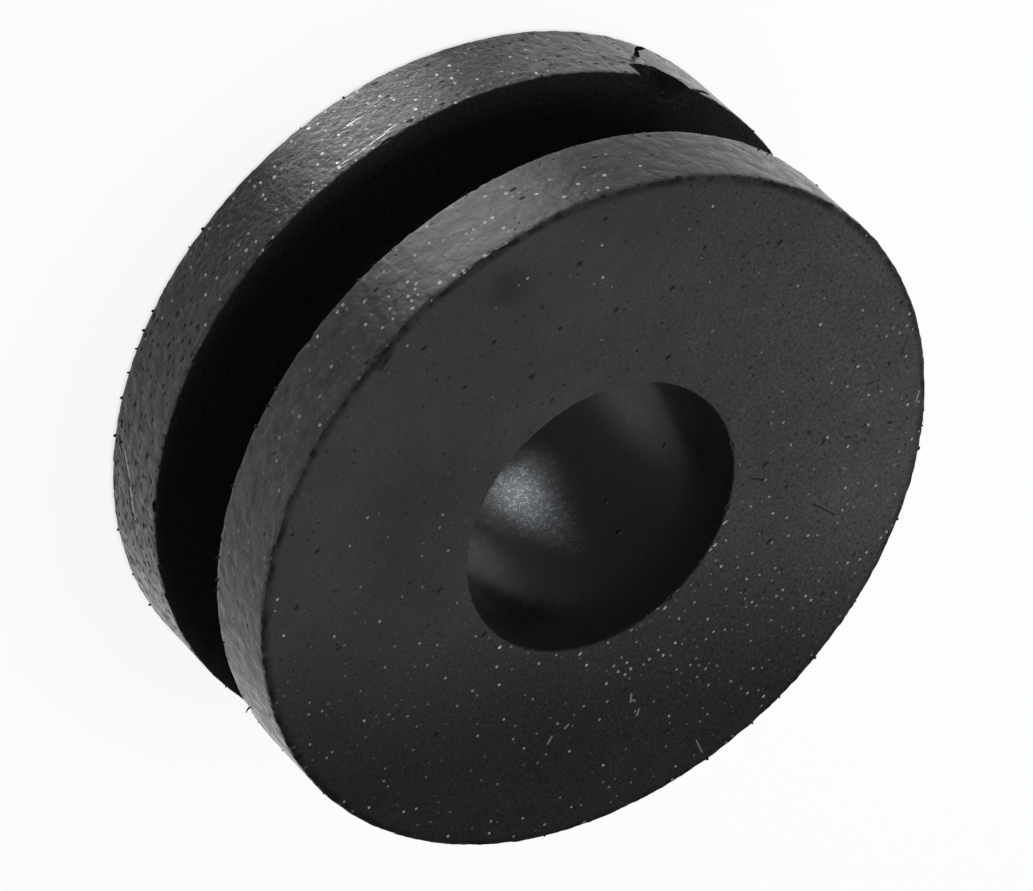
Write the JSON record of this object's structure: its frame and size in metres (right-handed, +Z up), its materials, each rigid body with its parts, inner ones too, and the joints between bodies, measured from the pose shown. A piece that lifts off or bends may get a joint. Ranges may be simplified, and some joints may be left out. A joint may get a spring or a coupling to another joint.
{
  "type": "rubber grommet",
  "caption": "Thick round rubber grommet with equal flanges, a deep panel groove and a plain bore; it lines a panel hole as a bush or cable guard.",
  "frame": {"origin": "centre of the bottom flange's flat face, on the bore's axis", "axes": "+Z up along the bore's axis, square to both flange faces; the part is round, so X and Y are set only by the torn edge, which lies towards -X and -Y"},
  "size_m": [0.02, 0.02, 0.0078],
  "materials": {
    "rubber": "matt black moulded rubber, dusty and fine-grained on the flanges, satin in the bore"
  },
  "bodies": {
    "root": {"grommet": "rubber"}
  },
  "joints": []
}
